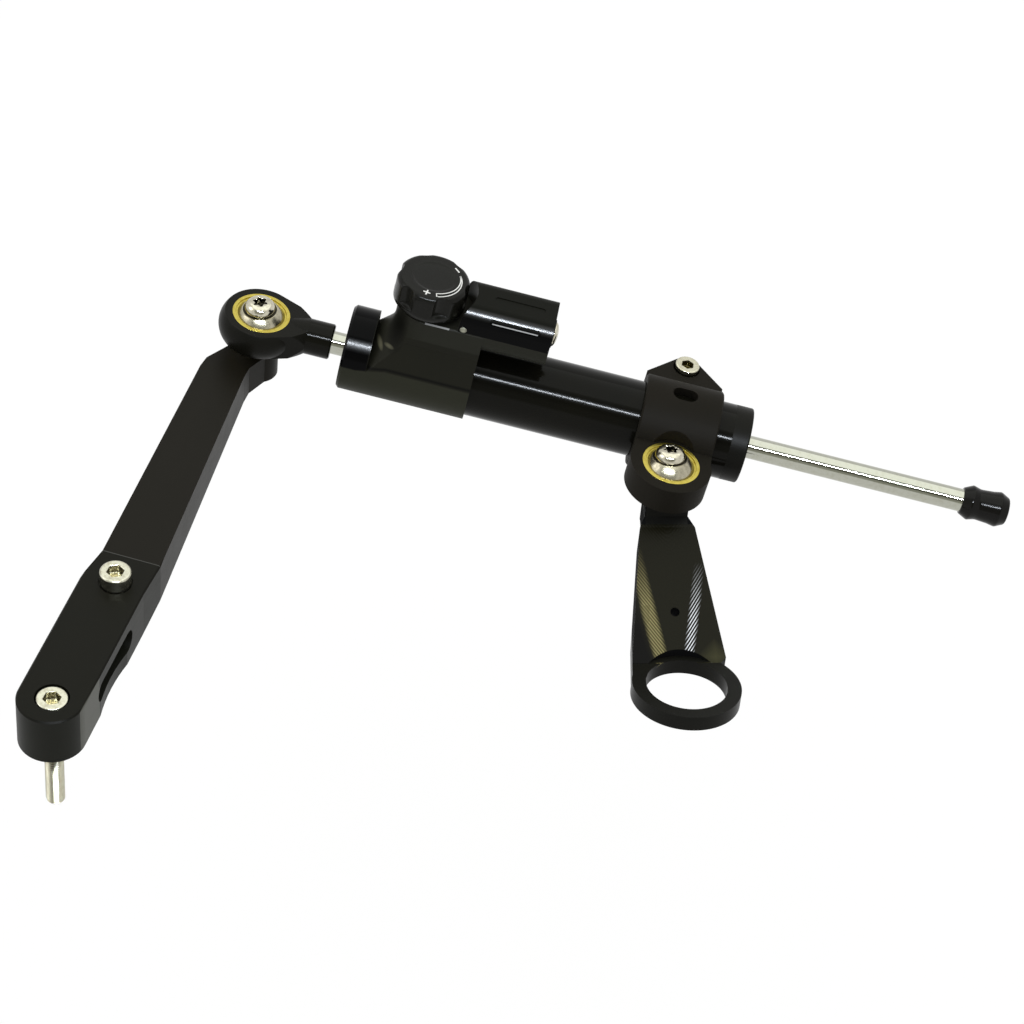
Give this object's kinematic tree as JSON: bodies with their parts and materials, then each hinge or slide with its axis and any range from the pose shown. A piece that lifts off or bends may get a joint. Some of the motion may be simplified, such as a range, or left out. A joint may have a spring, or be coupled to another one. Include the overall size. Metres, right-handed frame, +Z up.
{
  "type": "motorcycle steering damper",
  "caption": "Linear steering damper with an adjuster knob and side reservoir, a frame arm and a stem bracket on ball joints.",
  "frame": {"origin": "where the thread of the lower frame screw starts, just below the frame arm", "axes": "+X along the damper towards the rubber bumper, +Z up along the second eye, +Y to the back"},
  "size_m": [0.303, 0.218, 0.0936],
  "materials": {
    "black_anodised": "black anodised, satin to gloss",
    "polished_steel": "polished stainless steel",
    "golden_brass": "turned, bright",
    "chromed_rod": "hard chromed and ground",
    "black_rubber": "smooth, slightly glossy",
    "black_plastic": "moulded, glossy, with white marks",
    "inner_bronze": "turned bronze",
    "ring_plastic": "filled low-friction plastic"
  },
  "bodies": {
    "arm": {"frame_arm": "black_anodised", "frame_screw_lower": "polished_steel", "frame_screw_upper": "polished_steel", "rod_end_bolt": "polished_steel", "rod_end_spacer": "polished_steel"},
    "first_ball": {"rod_end_ball": "polished_steel"},
    "rod": {"rod_end_race": "golden_brass", "rod_end_housing": "black_anodised", "piston_rod": "chromed_rod", "rod_bumper": "black_rubber", "piston": "polished_steel"},
    "ring": {"piston_ring": "ring_plastic"},
    "barrel": {"head_block": "black_anodised", "barrel_tube": "black_anodised", "left_rod_guide": "inner_bronze", "left_rod_seal": "black_rubber", "right_rod_guide": "inner_bronze", "right_rod_seal": "black_rubber", "right_guide_oring": "black_rubber", "right_circlip": "polished_steel", "reservoir_plug": "polished_steel", "reservoir_plug_seal": "black_rubber", "reservoir_bladder": "black_rubber", "passage_plug": "polished_steel", "spindle_bush": "black_anodised", "detent_plunger": "polished_steel", "detent_ball": "polished_steel", "barrel_clamp": "black_anodised", "clamp_pinch_bolt": "polished_steel", "clamp_race": "golden_brass"},
    "adjuster": {"adjuster_knob": "black_plastic", "knob_grub_screw": "polished_steel", "valve_spindle": "polished_steel"},
    "second_ball": {"clamp_ball": "polished_steel"},
    "bracket": {"stem_bracket": "black_anodised", "clamp_ball_bolt": "polished_steel", "clamp_ball_spacer": "polished_steel"}
  },
  "joints": [
    {"name": "rod_end_swivel", "type": "hinge", "parent": "arm", "child": "first_ball", "pos_m": [0.02324, 0.17891, 0.02605], "axis": [-0.1201, 0.0091, 0.9927], "range_deg": [-40, 40]},
    {"name": "rod_end_tilt", "type": "hinge", "parent": "first_ball", "child": "rod", "pos_m": [0.02324, 0.17891, 0.02605], "axis": [-0.0758, -0.9971, 0], "range_deg": [-8.08, 21.92]},
    {"name": "rod_roll", "type": "hinge", "parent": "rod", "child": "ring", "pos_m": [0.16925, 0.17891, 0.02605], "axis": [1, 0, 0], "continuous": true},
    {"name": "barrel_slide", "type": "slide", "parent": "ring", "child": "barrel", "axis": [1, 0, 0], "range_m": [-0.004, 0.077]},
    {"name": "knob_turn", "type": "hinge", "parent": "barrel", "child": "adjuster", "pos_m": [0.07795, 0.17891, 0.02605], "axis": [0, 0, 1], "range_deg": [-135, 135]},
    {"name": "clamp_ball_tilt", "type": "hinge", "parent": "barrel", "child": "second_ball", "pos_m": [0.17084, 0.15531, 0.02605], "axis": [-0.8097, -0.5869, 0], "range_deg": [-28.82, 1.18]},
    {"name": "clamp_ball_swivel", "type": "hinge", "parent": "second_ball", "child": "bracket", "pos_m": [0.17084, 0.15531, 0.02605], "axis": [-0.1402, 0.1934, 0.9711], "range_deg": [-65, 35]}
  ]
}
